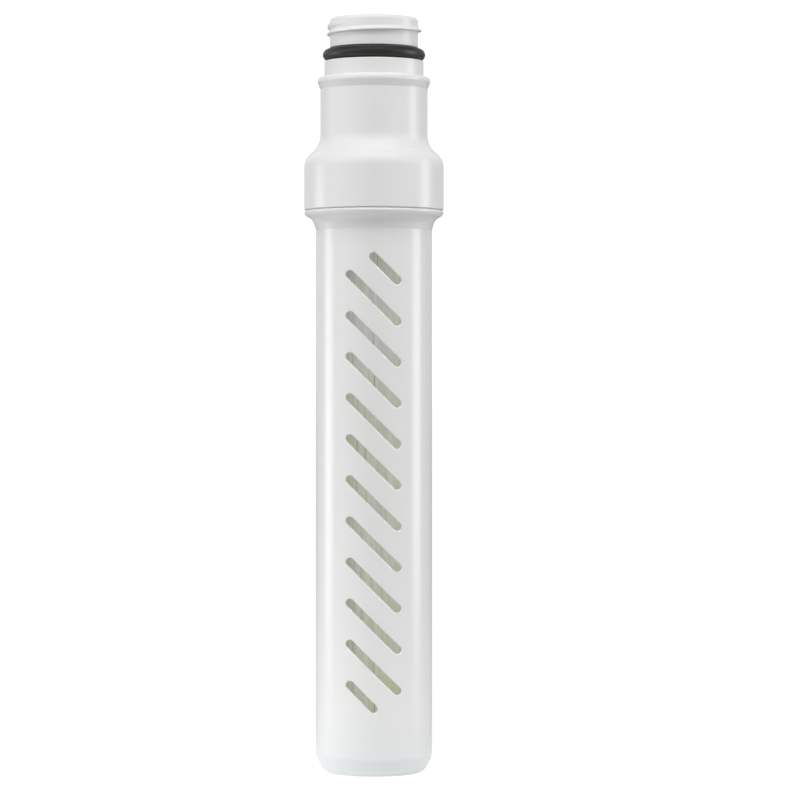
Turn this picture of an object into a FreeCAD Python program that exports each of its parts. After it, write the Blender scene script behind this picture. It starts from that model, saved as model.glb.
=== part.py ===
"""Replacement filter cartridge for a drinking bottle, in millimetres, standing on its closed end.

Water enters through the diagonal slots of a long moulded tube, passes through the walls of U-shaped
hollow fibres whose ends are potted in resin, and leaves through the threaded spout of the head.
+Z runs up the axis from the centre of the closed end. -Y is the front, and the back has the same slots.
"""

import FreeCAD, Part
import math
import os

import Sketcher

SIZES = (
    ("tube_radius", 13.7, "slotted tube, outside radius"),
    ("tube_wall", 1.6, "slotted tube, wall"),
    ("tube_length", 128.1, "closed end to the skirt under the flange"),
    ("floor_thickness", 2.0, "closed end, thickness"),
    ("floor_round", 2.6, "closed end, inside corner radius"),
    ("base_inset", 3.85, "closed end, how far its flat face stays in from the tube"),
    ("base_round", 3.0, "closed end, outside corner radius"),
    ("base_taper", 26.6, "closed end, degrees that the part above the corner leans in"),
    ("skirt_step", 0.25, "how far the skirt stands out from the tube"),
    ("skirt_land", 0.2, "straight part of the skirt"),
    ("skirt_round", 2.7, "hollow radius between skirt and flange"),
    ("flange_round", 1.43, "bulging radius under the flange"),
    ("flange_land", 0.35, "straight rim of the flange below the seam"),
    ("flange_reach", 2.5, "how far the flange stands out from the skirt"),
    ("seam_gap", 0.22, "height of the open groove at the seam"),
    ("seam_depth", 0.45, "depth of the open groove at the seam"),
    ("spigot_height", 3.0, "weld spigot above the seam"),
    ("spigot_chamfer", 0.5, "lead-in of the weld spigot"),
    ("weld_clearance", 0.1, "weld spigot to collar bore"),
    ("slot_width", 1.92, "slot, across"),
    ("slot_length", 15.44, "slot, between the centres of its round ends"),
    ("slot_slope", 45.0, "slot, degrees down from level"),
    ("slot_number", 12, "slots in one row, the first and last of them half slots"),
    ("slot_head_room", 6.9, "skirt to the middle of the top slot"),
    ("slot_foot_room", 16.1, "closed end to the middle of the bottom slot"),
    ("collar_wall", 1.95, "collar, wall"),
    ("collar_height", 10.0, "straight part of the collar"),
    ("shoulder_round", 4.4, "bulging radius on top of the collar"),
    ("shoulder_reach", 2.29, "how far in the bulging part of the shoulder reaches"),
    ("neck_sweep", 6.0, "hollow radius from shoulder to neck"),
    ("sweep_reach", 1.51, "how far in the hollow part of the shoulder reaches"),
    ("neck_length", 10.63, "straight part of the neck"),
    ("neck_wall", 1.75, "neck, wall"),
    ("lip_overhang", 0.65, "how far the lip stands out from the neck"),
    ("lip_flare", 1.65, "height of the flare under the lip"),
    ("lip_edge", 0.35, "straight rim of the lip"),
    ("lip_round", 0.8, "rounding on top of the lip"),
    ("band_setback", 0.95, "plain band below the ring groove, in from the neck"),
    ("band_height", 3.88, "plain band below the ring groove, height"),
    ("band_fillet", 0.4, "hollow radius between lip and plain band"),
    ("groove_depth", 2.5, "ring groove, in from the plain band"),
    ("ring_section", 2.9, "outer sealing ring, thickness"),
    ("ring_play", 0.1, "each side of a sealing ring to the wall of its groove"),
    ("ring_seat", 0.02, "sealing ring to the floor of its groove"),
    ("spout_setback", 1.28, "spout, in from the plain band"),
    ("spout_length", 7.05, "spout above the ring groove"),
    ("spout_wall", 2.42, "spout, wall"),
    ("spout_round", 0.7, "rounding of the spout's outer edge"),
    ("mouth_chamfer", 0.4, "chamfer of the spout's inner edge"),
    ("thread_pitch", 1.8, "thread, rise for each turn"),
    ("thread_depth", 0.82, "thread, height of the ridge"),
    ("thread_crest", 0.22, "thread, width of the crest"),
    ("thread_load_flank", 0.3, "thread, width of the steep lower flank"),
    ("thread_top_flank", 0.85, "thread, width of the sloping upper flank"),
    ("thread_root", 0.25, "how deep the ridge starts below the spout's surface"),
    ("thread_foot_room", 2.7, "ring groove to the start of the crest"),
    ("thread_run_out", 0.5, "turns over which the ridge sinks back at its upper end"),
    ("chamber_wall", 1.9, "wall round the chamber below the spout"),
    ("chamber_cone", 1.8, "height of the cone from spout bore to chamber"),
    ("spout_bore_length", 11.5, "spout mouth to that cone"),
    ("chamber_length", 6.5, "straight part of the chamber"),
    ("neck_bore_cone", 1.1, "height of the cone from chamber to neck bore"),
    ("stop_depth", 9.0, "seam to the stop above the potting sleeve"),
    ("stop_width", 2.3, "width of the stop"),
    ("stop_height", 3.9, "straight opening above the stop"),
    ("stop_cone", 3.4, "height of the cone from stop to neck bore"),
    ("stop_clearance", 0.1, "potting sleeve to the stop"),
    ("sleeve_clearance", 0.15, "potting sleeve to the tube's bore"),
    ("sleeve_wall", 1.05, "potting sleeve, wall"),
    ("sleeve_depth", 11.0, "potting sleeve below its flange"),
    ("sleeve_flange", 2.2, "potting sleeve's flange, thickness"),
    ("flange_clearance", 0.2, "potting sleeve's flange to the collar bore"),
    ("inner_ring_section", 1.9, "inner sealing ring, thickness"),
    ("resin_recess", 2.4, "potting sleeve's lower edge to the resin"),
    ("fibre_rings", 4, "fibre spacings from the axis to the outermost fibres"),
    ("fibre_gap", 0.82, "hollow fibre to its neighbours"),
    ("fibre_wall", 0.25, "hollow fibre, wall"),
    ("fibre_margin", 0.4, "outermost fibres to the sleeve's wall"),
    ("fibre_foot_room", 2.6, "closed end's floor to the lowest fibre"),
)

doc = FreeCAD.newDocument("bottle_filter")
sheet = doc.addObject("Spreadsheet::Sheet", "sizes")


class Size:
    """A size as a number now and as the sheet expression that it comes from."""

    def __init__(self, value, text):
        self.value = value
        self.text = text

    def joined(self, sign, other, value):
        return Size(value, f"({self.text} {sign} {size(other).text})")

    def __add__(self, other):
        return self.joined("+", other, self.value + size(other).value)

    def __sub__(self, other):
        return self.joined("-", other, self.value - size(other).value)

    def __mul__(self, other):
        return self.joined("*", other, self.value * size(other).value)

    def __truediv__(self, other):
        return self.joined("/", other, self.value / size(other).value)

    def __neg__(self):
        return Size(-self.value, f"(-1 * {self.text})")


def size(number):
    """A bare number as a Size."""
    return number if isinstance(number, Size) else Size(float(number), repr(float(number)))


def square_root(area):
    return Size(math.sqrt(area.value), f"sqrt({area.text})")


def cosine(degrees):
    return Size(math.cos(math.radians(degrees.value)), f"cos({degrees.text})")


def sine(degrees):
    return Size(math.sin(math.radians(degrees.value)), f"sin({degrees.text})")


def slope_angle(rise, run):
    """The angle in degrees of a slope."""
    return Size(math.degrees(math.atan2(rise.value, run.value)), f"atan2({rise.text}; {run.text})")


def fill_sheet():
    """Writes the driving dimensions and returns them by name."""
    named = {}
    for row, (alias, value, words) in enumerate(SIZES, start=1):
        sheet.set(f"A{row}", words)
        sheet.set(f"B{row}", str(value))
        sheet.setAlias(f"B{row}", alias)
        named[alias] = Size(float(value), f"sizes.{alias}")
    doc.recompute()
    return named


s = fill_sheet()
ZERO = size(0)

# Radii, each from its neighbour
tube_bore = s["tube_radius"] - s["tube_wall"]
skirt_radius = s["tube_radius"] + s["skirt_step"]
collar_radius = skirt_radius + s["flange_reach"]
collar_bore = collar_radius - s["collar_wall"]
shoulder_break = collar_radius - s["shoulder_reach"]
neck_radius = shoulder_break - s["sweep_reach"]
neck_bore = neck_radius - s["neck_wall"]
lip_radius = neck_radius + s["lip_overhang"]
band_radius = neck_radius - s["band_setback"]
groove_radius = band_radius - s["groove_depth"]
spout_radius = band_radius - s["spout_setback"]
spout_bore = spout_radius - s["spout_wall"]
chamber_bore = band_radius - s["chamber_wall"]
stop_bore = collar_bore - s["stop_width"]
sleeve_outside = tube_bore - s["sleeve_clearance"]
sleeve_bore = sleeve_outside - s["sleeve_wall"]
inner_seat = collar_bore - s["inner_ring_section"] - s["ring_seat"] * 2

# Heights above the closed end, each from its neighbour
skirt_foot = s["tube_length"]
skirt_top = skirt_foot + s["skirt_step"] + s["skirt_land"]
ogee_radii = s["skirt_round"] + s["flange_round"]
ogee_cosine = size(1) - s["flange_reach"] / ogee_radii
ogee_sine = square_root(size(1) - ogee_cosine * ogee_cosine)
rim_foot = skirt_top + ogee_radii * ogee_sine
seam = rim_foot + s["flange_land"]
spigot_top = seam + s["spigot_height"]
collar_top = seam + s["collar_height"]
shoulder_inset = s["shoulder_round"] - s["shoulder_reach"]
shoulder_rise = square_root(s["shoulder_round"] * s["shoulder_round"] - shoulder_inset * shoulder_inset)
shoulder_top = collar_top + shoulder_rise
sweep_inset = s["neck_sweep"] - s["sweep_reach"]
sweep_rise = square_root(s["neck_sweep"] * s["neck_sweep"] - sweep_inset * sweep_inset)
neck_foot = shoulder_top + sweep_rise
neck_top = neck_foot + s["neck_length"]
lip_top = neck_top + s["lip_flare"] + s["lip_edge"] + s["lip_round"]
groove_foot = lip_top + s["band_height"]
groove_top = groove_foot + s["ring_section"] + s["ring_play"] * 2
spout_top = groove_top + s["spout_length"]
chamber_top = spout_top - s["spout_bore_length"] - s["chamber_cone"]
chamber_foot = chamber_top - s["chamber_length"]
stop = seam + s["stop_depth"]
sleeve_top = stop - s["stop_clearance"]
sleeve_foot = spigot_top - s["sleeve_depth"]
inner_groove_foot = spigot_top + s["sleeve_flange"]
inner_groove_top = inner_groove_foot + s["inner_ring_section"] + s["ring_play"] * 2
resin_foot = sleeve_foot + s["resin_recess"]

# The fibres stand in a honeycomb that fills the sleeve, each as thick as the gap to its neighbours allows
ROW_STEP = math.sqrt(3) / 2
fibre_spacing = (sleeve_bore - s["fibre_margin"] + s["fibre_gap"] / 2) / (s["fibre_rings"] + 0.5)
fibre_radius = (fibre_spacing - s["fibre_gap"]) / 2
fibre_bore = fibre_radius - s["fibre_wall"]
widest_bend = fibre_spacing * (s["fibre_rings"] - 0.5)
bend_height = s["floor_thickness"] + s["fibre_foot_room"] + fibre_radius + widest_bend


def fibre_places():
    """Each loop's half width and row, in fibre spacings."""
    rings = round(s["fibre_rings"].value)
    for row in range(-rings, rings + 1):
        shift = 0.5 if row % 2 == 0 else 1.0
        for step in range(rings):
            across = step + shift
            if math.hypot(across, row * ROW_STEP) <= rings:
                yield across, row * ROW_STEP


def new_body(label):
    body = doc.addObject("PartDesign::Body", label)
    body.Label = label
    return body


def new_sketch(body, name, role):
    """A sketch on one of the body's own origin planes."""
    sketch = body.newObject("Sketcher::SketchObject", name)
    plane = [f for f in body.Origin.OriginFeatures if f.Role == role][0]
    sketch.AttachmentSupport = [(plane, "")]
    sketch.MapMode = "FlatFace"
    return sketch


def fix_point(sketch, edge, end, across, up):
    """Ties one point of a sketch to the sheet, or to an axis where its coordinate is always nought."""
    for kind, axis, distance in (("DistanceX", -2, across), ("DistanceY", -1, up)):
        if distance is ZERO:
            sketch.addConstraint(Sketcher.Constraint("PointOnObject", edge, end, axis))
            continue
        index = sketch.addConstraint(Sketcher.Constraint(kind, -1, 1, edge, end, distance.value))
        sketch.setExpression(f"Constraints[{index}]", distance.text)


def fix_radius(sketch, edge, radius):
    index = sketch.addConstraint(Sketcher.Constraint("Radius", edge, radius.value))
    sketch.setExpression(f"Constraints[{index}]", radius.text)


def arc_between(start, end, radius, side):
    """The short arc of that radius from start to end, its centre to the left (side 1) or right (side -1)."""
    chord = end - start
    middle = start + chord * 0.5
    left = FreeCAD.Vector(-chord.y, chord.x, 0).normalize()
    centre = middle + left * (side * math.sqrt(max(radius**2 - (chord.Length / 2) ** 2, 0)))
    circle = Part.Circle(centre, FreeCAD.Vector(0, 0, 1), radius)
    first, last = (start, end) if side > 0 else (end, start)
    return Part.ArcOfCircle(circle, circle.parameter(first), circle.parameter(last))


def draw_outline(sketch, corners):
    """Draws a closed outline of (across, up) corners. An arc leads to a corner that adds (radius, side)."""
    points = [FreeCAD.Vector(c[0].value, c[1].value, 0) for c in corners]
    ends = []
    for i, corner in enumerate(corners):
        start, end = points[i - 1], points[i]
        if len(corner) == 2:
            edge = sketch.addGeometry(Part.LineSegment(start, end), False)
            ends.append((edge, 1, 2))
            continue
        edge = sketch.addGeometry(arc_between(start, end, corner[2].value, corner[3]), False)
        ends.append((edge, 1, 2) if corner[3] > 0 else (edge, 2, 1))
    for i, corner in enumerate(corners):
        edge, _, last = ends[i]
        following, first, _ = ends[(i + 1) % len(ends)]
        sketch.addConstraint(Sketcher.Constraint("Coincident", edge, last, following, first))
        fix_point(sketch, edge, last, corner[0], corner[1])
        if len(corner) == 4:
            fix_radius(sketch, edge, corner[2])


def draw_circle(sketch, across, up, radius):
    centre = FreeCAD.Vector(across.value, up.value, 0)
    edge = sketch.addGeometry(Part.Circle(centre, FreeCAD.Vector(0, 0, 1), radius.value), False)
    fix_point(sketch, edge, 3, across, up)
    fix_radius(sketch, edge, radius)


def draw_slot(sketch, start, end, radius):
    """A straight slot with round ends, from one end's centre to the other's."""
    first = FreeCAD.Vector(start[0].value, start[1].value, 0)
    last = FreeCAD.Vector(end[0].value, end[1].value, 0)
    out = FreeCAD.Vector(0, 0, 1)
    along = math.atan2(last.y - first.y, last.x - first.x)
    side = FreeCAD.Vector(-math.sin(along), math.cos(along), 0) * radius.value
    left = along + math.pi / 2
    right = along - math.pi / 2
    near_arc = Part.ArcOfCircle(Part.Circle(first, out, radius.value), left, left + math.pi)
    far_arc = Part.ArcOfCircle(Part.Circle(last, out, radius.value), right, right + math.pi)
    near = sketch.addGeometry(near_arc, False)
    lower = sketch.addGeometry(Part.LineSegment(first - side, last - side), False)
    far = sketch.addGeometry(far_arc, False)
    upper = sketch.addGeometry(Part.LineSegment(last + side, first + side), False)
    for one, other in ((near, lower), (lower, far), (far, upper), (upper, near)):
        sketch.addConstraint(Sketcher.Constraint("Tangent", one, 2, other, 1))
    sketch.addConstraint(Sketcher.Constraint("Equal", near, far))
    fix_radius(sketch, near, radius)
    fix_point(sketch, near, 3, *start)
    fix_point(sketch, far, 3, *end)


def turn(body, name, corners):
    """Turns an outline drawn in the XZ plane about the axis."""
    sketch = new_sketch(body, f"{name}_outline", "XZ_Plane")
    draw_outline(sketch, corners)
    solid = body.newObject("PartDesign::Revolution", name)
    solid.Profile = sketch
    solid.ReferenceAxis = (sketch, ["V_Axis"])
    solid.Angle = 360
    doc.recompute()
    return solid


def cut_through(body, name, sketch, backwards):
    """Cuts a sketch's outline through everything on one side of its plane."""
    before = body.Shape.Volume
    pocket = body.newObject("PartDesign::Pocket", name)
    pocket.Profile = sketch
    pocket.Type = "ThroughAll"
    pocket.Reversed = backwards
    doc.recompute()
    assert body.Shape.Volume < before, f"{name} cuts nothing"
    return pocket


# Slotted housing: one moulding with a closed end, a tube with two rows of slots, a flange and a weld spigot
def slotted_housing():
    body = new_body("slotted_housing")
    flat_radius = s["tube_radius"] - s["base_inset"]
    taper_foot_radius = flat_radius + s["base_round"] * cosine(s["base_taper"])
    taper_foot = s["base_round"] - s["base_round"] * sine(s["base_taper"])
    taper_rise = cosine(s["base_taper"]) / sine(s["base_taper"])
    taper_top = taper_foot + (s["tube_radius"] - taper_foot_radius) * taper_rise
    ogee_middle = skirt_radius + s["skirt_round"] * (size(1) - ogee_cosine)
    spigot_radius = collar_bore - s["weld_clearance"]
    seam_floor = collar_radius - s["seam_depth"]
    turn(body, "housing_shell", [
        (ZERO, ZERO),
        (flat_radius, ZERO),
        (taper_foot_radius, taper_foot, s["base_round"], 1),
        (s["tube_radius"], taper_top),
        (s["tube_radius"], skirt_foot),
        (skirt_radius, skirt_foot + s["skirt_step"]),
        (skirt_radius, skirt_top),
        (ogee_middle, skirt_top + s["skirt_round"] * ogee_sine, s["skirt_round"], -1),
        (collar_radius, rim_foot, s["flange_round"], 1),
        (collar_radius, seam - s["seam_gap"]),
        (seam_floor, seam - s["seam_gap"]),
        (seam_floor, seam),
        (spigot_radius, seam),
        (spigot_radius, spigot_top - s["spigot_chamfer"]),
        (spigot_radius - s["spigot_chamfer"], spigot_top),
        (tube_bore, spigot_top),
        (tube_bore, s["floor_thickness"] + s["floor_round"]),
        (tube_bore - s["floor_round"], s["floor_thickness"], s["floor_round"], -1),
        (ZERO, s["floor_thickness"]),
    ])

    half_across = s["slot_length"] / 2 * cosine(s["slot_slope"])
    half_down = s["slot_length"] / 2 * sine(s["slot_slope"])
    half_width = s["slot_width"] / 2
    top = skirt_foot - s["slot_head_room"]
    bottom = s["slot_foot_room"]
    pitch = (top - bottom) / (s["slot_number"] - 1)
    second = top - pitch

    sketch = new_sketch(body, "slot_outline", "XZ_Plane")
    draw_slot(sketch, (-half_across, second + half_down), (half_across, second - half_down), half_width)
    slot = cut_through(body, "slot", sketch, True)
    column = doc.addObject("PartDesign::LinearPattern", "slot_column")
    column.Direction = (sketch, ["V_Axis"])
    column.Reversed = True
    column.setExpression("Length", (pitch * (s["slot_number"] - 3)).text)
    column.setExpression("Occurrences", (s["slot_number"] - 2).text)
    both_sides = doc.addObject("PartDesign::PolarPattern", "slot_sides")
    both_sides.Axis = (sketch, ["V_Axis"])
    both_sides.Angle = 360
    both_sides.Occurrences = 2
    rows = body.newObject("PartDesign::MultiTransform", "slot_rows")
    rows.Originals = [slot]
    rows.Transformations = [column, both_sides]
    body.Tip = rows
    doc.recompute()

    sketch = new_sketch(body, "half_slot_outline", "XZ_Plane")
    draw_slot(sketch, (ZERO, top), (half_across, top - half_down), half_width)
    draw_slot(sketch, (-half_across, bottom + half_down), (ZERO, bottom), half_width)
    half_slots = cut_through(body, "half_slots", sketch, True)
    other_side = body.newObject("PartDesign::PolarPattern", "half_slot_sides")
    other_side.Originals = [half_slots]
    other_side.Axis = (sketch, ["V_Axis"])
    other_side.Angle = 360
    other_side.Occurrences = 2
    body.Tip = other_side
    doc.recompute()
    return body


def ridge_outline(body, name, role, outward, crest_radius, crest_height):
    """The thread ridge's section on one side of the axis (outward 1 or -1)."""
    sketch = new_sketch(body, name, role)
    root_radius = crest_radius - s["thread_depth"] - s["thread_root"]
    half_crest = s["thread_crest"] / 2
    outline = [
        (root_radius, crest_height - half_crest - s["thread_load_flank"]),
        (crest_radius, crest_height - half_crest),
        (crest_radius, crest_height + half_crest),
        (root_radius, crest_height + half_crest + s["thread_top_flank"]),
    ]
    draw_outline(sketch, [(radius * outward, height) for radius, height in outline])
    return sketch


def wind(body, name, sketch, turns, slope):
    """Winds a section up round the axis, its radius changing by the slope."""
    before = body.Shape.Volume
    ridge = body.newObject("PartDesign::AdditiveHelix", name)
    ridge.Profile = sketch
    ridge.ReferenceAxis = (sketch, ["V_Axis"])
    ridge.Mode = 1
    ridge.setExpression("Pitch", s["thread_pitch"].text)
    ridge.setExpression("Turns", turns.text)
    ridge.setExpression("Angle", slope.text)
    doc.recompute()
    assert body.Shape.Volume > before, f"{name} adds nothing"
    return ridge


# Head: one moulding from the collar that closes the tube up to the threaded spout
def head():
    body = new_body("head")
    turn(body, "head_shell", [
        (collar_radius, seam),
        (collar_radius, collar_top),
        (shoulder_break, shoulder_top, s["shoulder_round"], 1),
        (neck_radius, neck_foot, s["neck_sweep"], -1),
        (neck_radius, neck_top),
        (lip_radius, neck_top + s["lip_flare"]),
        (lip_radius, lip_top - s["lip_round"]),
        (lip_radius - s["lip_round"], lip_top, s["lip_round"], 1),
        (band_radius + s["band_fillet"], lip_top),
        (band_radius, lip_top + s["band_fillet"], s["band_fillet"], -1),
        (band_radius, groove_foot),
        (groove_radius, groove_foot),
        (groove_radius, groove_top),
        (spout_radius, groove_top),
        (spout_radius, spout_top - s["spout_round"]),
        (spout_radius - s["spout_round"], spout_top, s["spout_round"], 1),
        (spout_bore + s["mouth_chamfer"], spout_top),
        (spout_bore, spout_top - s["mouth_chamfer"]),
        (spout_bore, spout_top - s["spout_bore_length"]),
        (chamber_bore, chamber_top),
        (chamber_bore, chamber_foot),
        (neck_bore, chamber_foot - s["neck_bore_cone"]),
        (neck_bore, stop + s["stop_height"] + s["stop_cone"]),
        (stop_bore, stop + s["stop_height"]),
        (stop_bore, stop),
        (collar_bore, stop),
        (collar_bore, seam),
    ])
    thread(body)
    return body


def thread(body):
    """A ridge that rises out of the spout's wall, runs round it and sinks back."""
    fade = s["thread_depth"] + s["thread_root"]
    crest_radius = spout_radius + s["thread_depth"]
    start = groove_top + s["thread_foot_room"]
    quarter = s["thread_pitch"] / 4
    lead_in = ridge_outline(body, "lead_in_section", "YZ_Plane", 1, crest_radius - fade, start)
    wind(body, "thread_lead_in", lead_in, size(0.25), slope_angle(fade, quarter))
    full = ridge_outline(body, "thread_section", "XZ_Plane", -1, crest_radius, start + quarter)
    wind(body, "thread_ridge", full, size(0.75), ZERO)
    run_out = ridge_outline(body, "run_out_section", "YZ_Plane", 1, crest_radius, start + s["thread_pitch"])
    run_out_rise = s["thread_pitch"] * s["thread_run_out"]
    wind(body, "thread_run_out", run_out, s["thread_run_out"], -slope_angle(fade, run_out_rise))


def ring(label, across, up, radius):
    """A round sealing ring."""
    body = new_body(label)
    sketch = new_sketch(body, f"{label}_section", "XZ_Plane")
    draw_circle(sketch, across, up, radius)
    solid = body.newObject("PartDesign::Revolution", f"{label}_turn")
    solid.Profile = sketch
    solid.ReferenceAxis = (sketch, ["V_Axis"])
    solid.Angle = 360
    return body


# Sealing rings: one in the groove under the spout, one between the potting sleeve and the collar
def sealing_rings():
    outer = s["ring_section"] / 2
    inner = s["inner_ring_section"] / 2
    ring("outer_seal_ring", groove_radius + s["ring_seat"] + outer, (groove_foot + groove_top) / 2, outer)
    inner_middle = (inner_groove_foot + inner_groove_top) / 2
    ring("inner_seal_ring", inner_seat + s["ring_seat"] + inner, inner_middle, inner)


# Potting sleeve: hangs in the tube by its flange, which the stop in the head holds down on the weld spigot
def potting_sleeve():
    body = new_body("potting_sleeve")
    flange_radius = collar_bore - s["flange_clearance"]
    turn(body, "sleeve_shell", [
        (sleeve_outside, sleeve_foot),
        (sleeve_outside, spigot_top),
        (flange_radius, spigot_top),
        (flange_radius, inner_groove_foot),
        (inner_seat, inner_groove_foot),
        (inner_seat, inner_groove_top),
        (flange_radius, inner_groove_top),
        (flange_radius, sleeve_top),
        (sleeve_bore, sleeve_top),
        (sleeve_bore, sleeve_foot),
    ])


# Potting resin: a disc cast round the fibres and cut flush with the sleeve, which leaves their ends open
def potting_resin():
    body = new_body("potting_resin")
    turn(body, "resin_disc", [
        (ZERO, resin_foot),
        (sleeve_bore, resin_foot),
        (sleeve_bore, sleeve_top),
        (ZERO, sleeve_top),
    ])
    sketch = new_sketch(body, "fibre_holes_outline", "XY_Plane")
    for across, row in fibre_places():
        for side in (-1, 1):
            draw_circle(sketch, fibre_spacing * (across * side), fibre_spacing * row, fibre_radius)
    cut_through(body, "fibre_holes", sketch, True)


# Hollow fibres: each comes down from the resin, bends back near the closed end and goes up again
def fibre_loop(label, across, row):
    body = new_body(label)
    half_width = fibre_spacing * across
    path = new_sketch(body, f"{label}_path", "XZ_Plane")
    corners = [
        (half_width, sleeve_top),
        (half_width, bend_height),
        (-half_width, bend_height),
        (-half_width, sleeve_top),
    ]
    points = [FreeCAD.Vector(x.value, z.value, 0) for x, z in corners]
    path.addGeometry(Part.LineSegment(points[0], points[1]), False)
    path.addGeometry(arc_between(points[1], points[2], half_width.value, -1), False)
    path.addGeometry(Part.LineSegment(points[2], points[3]), False)
    path.addConstraint(Sketcher.Constraint("Coincident", 0, 2, 1, 2))
    path.addConstraint(Sketcher.Constraint("Coincident", 1, 1, 2, 1))
    fix_point(path, 0, 1, *corners[0])
    fix_point(path, 0, 2, *corners[1])
    fix_point(path, 2, 1, *corners[2])
    fix_point(path, 2, 2, *corners[3])
    bend = path.addConstraint(Sketcher.Constraint("DistanceY", -1, 1, 1, 3, bend_height.value))
    path.setExpression(f"Constraints[{bend}]", bend_height.text)
    section = new_sketch(body, f"{label}_section", "XY_Plane")
    section.setExpression("AttachmentOffset.Base.z", sleeve_top.text)
    draw_circle(section, half_width, ZERO, fibre_radius)
    draw_circle(section, half_width, ZERO, fibre_bore)
    doc.recompute()
    pipe = body.newObject("PartDesign::AdditivePipe", f"{label}_wall")
    pipe.Profile = section
    pipe.Spine = (path, ["Edge1", "Edge2", "Edge3"])
    body.setExpression("Placement.Base.y", (fibre_spacing * row).text)
    return body


def check_and_write():
    """Stops on any failed feature or broken solid, then writes one file for each sub-part."""
    doc.recompute()
    failed = [o.Name for o in doc.Objects if {"Invalid", "Error"} & set(o.State)]
    assert not failed, f"failed: {failed}"
    bodies = [o for o in doc.Objects if o.TypeId == "PartDesign::Body"]
    for body in bodies:
        assert not body.Shape.isNull(), f"{body.Label} is empty"
        assert body.Shape.isValid(), f"{body.Label} is not valid"
        assert len(body.Shape.Solids) == 1, f"{body.Label} is not one solid"
    os.makedirs("parts", exist_ok=True)
    for body in bodies:
        body.Shape.exportStep(f"parts/{body.Label}.step")
        print(f"{body.Label}: {body.Shape.Volume:.1f} mm3")


slotted_housing()
head()
sealing_rings()
potting_sleeve()
potting_resin()
for number, (across, row) in enumerate(fibre_places(), start=1):
    fibre_loop(f"fibre_loop_{number:02d}", across, row)
check_and_write()
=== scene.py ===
"""The looks of a replacement filter cartridge for a drinking bottle, standing on its closed end.

The moulded and cast pieces are sized in millimetres until their mesh is made. The fibres, the patterns of
the materials and the studio are sized in metres. +Z is the axis, from the closed end up to the spout, and -Y
is the front, where the photograph was taken from.
"""

import math

import bpy
import numpy as np
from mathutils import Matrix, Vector
from mathutils.geometry import delaunay_2d_cdt


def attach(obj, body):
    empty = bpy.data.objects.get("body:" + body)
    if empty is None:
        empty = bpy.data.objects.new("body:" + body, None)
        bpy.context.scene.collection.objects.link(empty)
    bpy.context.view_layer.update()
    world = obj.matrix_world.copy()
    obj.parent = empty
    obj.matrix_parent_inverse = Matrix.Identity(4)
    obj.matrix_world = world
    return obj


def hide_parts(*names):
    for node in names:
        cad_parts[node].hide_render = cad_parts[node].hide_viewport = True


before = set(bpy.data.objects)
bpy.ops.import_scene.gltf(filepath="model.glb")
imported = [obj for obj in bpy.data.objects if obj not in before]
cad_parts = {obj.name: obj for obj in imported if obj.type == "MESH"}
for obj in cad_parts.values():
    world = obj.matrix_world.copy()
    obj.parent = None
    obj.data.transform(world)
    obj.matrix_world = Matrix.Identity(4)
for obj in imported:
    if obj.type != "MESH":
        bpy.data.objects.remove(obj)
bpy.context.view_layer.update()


# Head
# One injection moulding in glossy white plastic: collar, shoulder, neck, lip, ring groove and threaded
# spout. It is open all the way down, and its collar is welded over the housing's spigot at the seam.
SEAM = 132.695
COLLAR_RADIUS, COLLAR_TOP = 16.45, 142.695
SHOULDER_RADIUS, SHOULDER_TOP, SHOULDER_ARC = 14.16, 146.556, 4.4
NECK_RADIUS, NECK_FOOT, NECK_TOP, NECK_ARC = 12.65, 150.536, 161.166, 6.0
LIP_RADIUS, LIP_TOP, LIP_FLARE, LIP_ROUND = 13.3, 163.966, 1.65, 0.8
BAND_RADIUS, BAND_COVE = 11.7, 0.4
GROOVE_RADIUS, GROOVE_FOOT, GROOVE_TOP = 9.2, 167.846, 170.946
THREAD_FOOT, THREAD_HEAD = 171.4, 177.05
SPOUT_RADIUS, SPOUT_TOP = 10.42, 177.996
RIM_ROUND, MOUTH_BEVEL = 0.9, 0.4

# The bores down through the middle, from the spout to the socket that takes the housing's spigot
SPOUT_BORE, SPOUT_BORE_FOOT = 8.0, 166.5
LIP_BORE, LIP_BORE_HEAD, LIP_BORE_FOOT = 9.8, 164.7, 158.2
NECK_BORE, NECK_BORE_HEAD, NECK_BORE_FOOT = 10.9, 157.1, 148.995
CHAMBER_BORE, CHAMBER_HEAD = 12.2, 145.595
SOCKET_BORE, SOCKET_HEAD = 14.5, 141.695

# The roundings of corners: the usual ones of the moulds first, then those of single corners
SOFT, SNUG, CRISP, HAIR = 0.2, 0.15, 0.1, 0.05
COLLAR_EDGE, SHOULDER_BLEND, GROOVE_EDGE = 0.25, 1.2, 0.18
UNDER_LIP, LIP_CORNER = 0.5, 0.3

# Arcs and roundings become points these angles apart, and a bend smaller than STRAIGHT gets no rounding
MM = 0.001
TURN = 2 * math.pi
ARC_STEP = math.radians(6)
FILLET_STEP = math.radians(18)
STRAIGHT = 1e-6


def tangent(start, end, arc):
    """The angles at which a line, or an arc (radius, side), leaves its start and reaches its end."""
    chord = math.atan2(end[1] - start[1], end[0] - start[0])
    if arc is None:
        return chord, chord
    radius, side = arc
    half = math.asin(min(math.dist(start, end) / (2 * radius), 1)) * side
    return chord - half, chord + half


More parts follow.
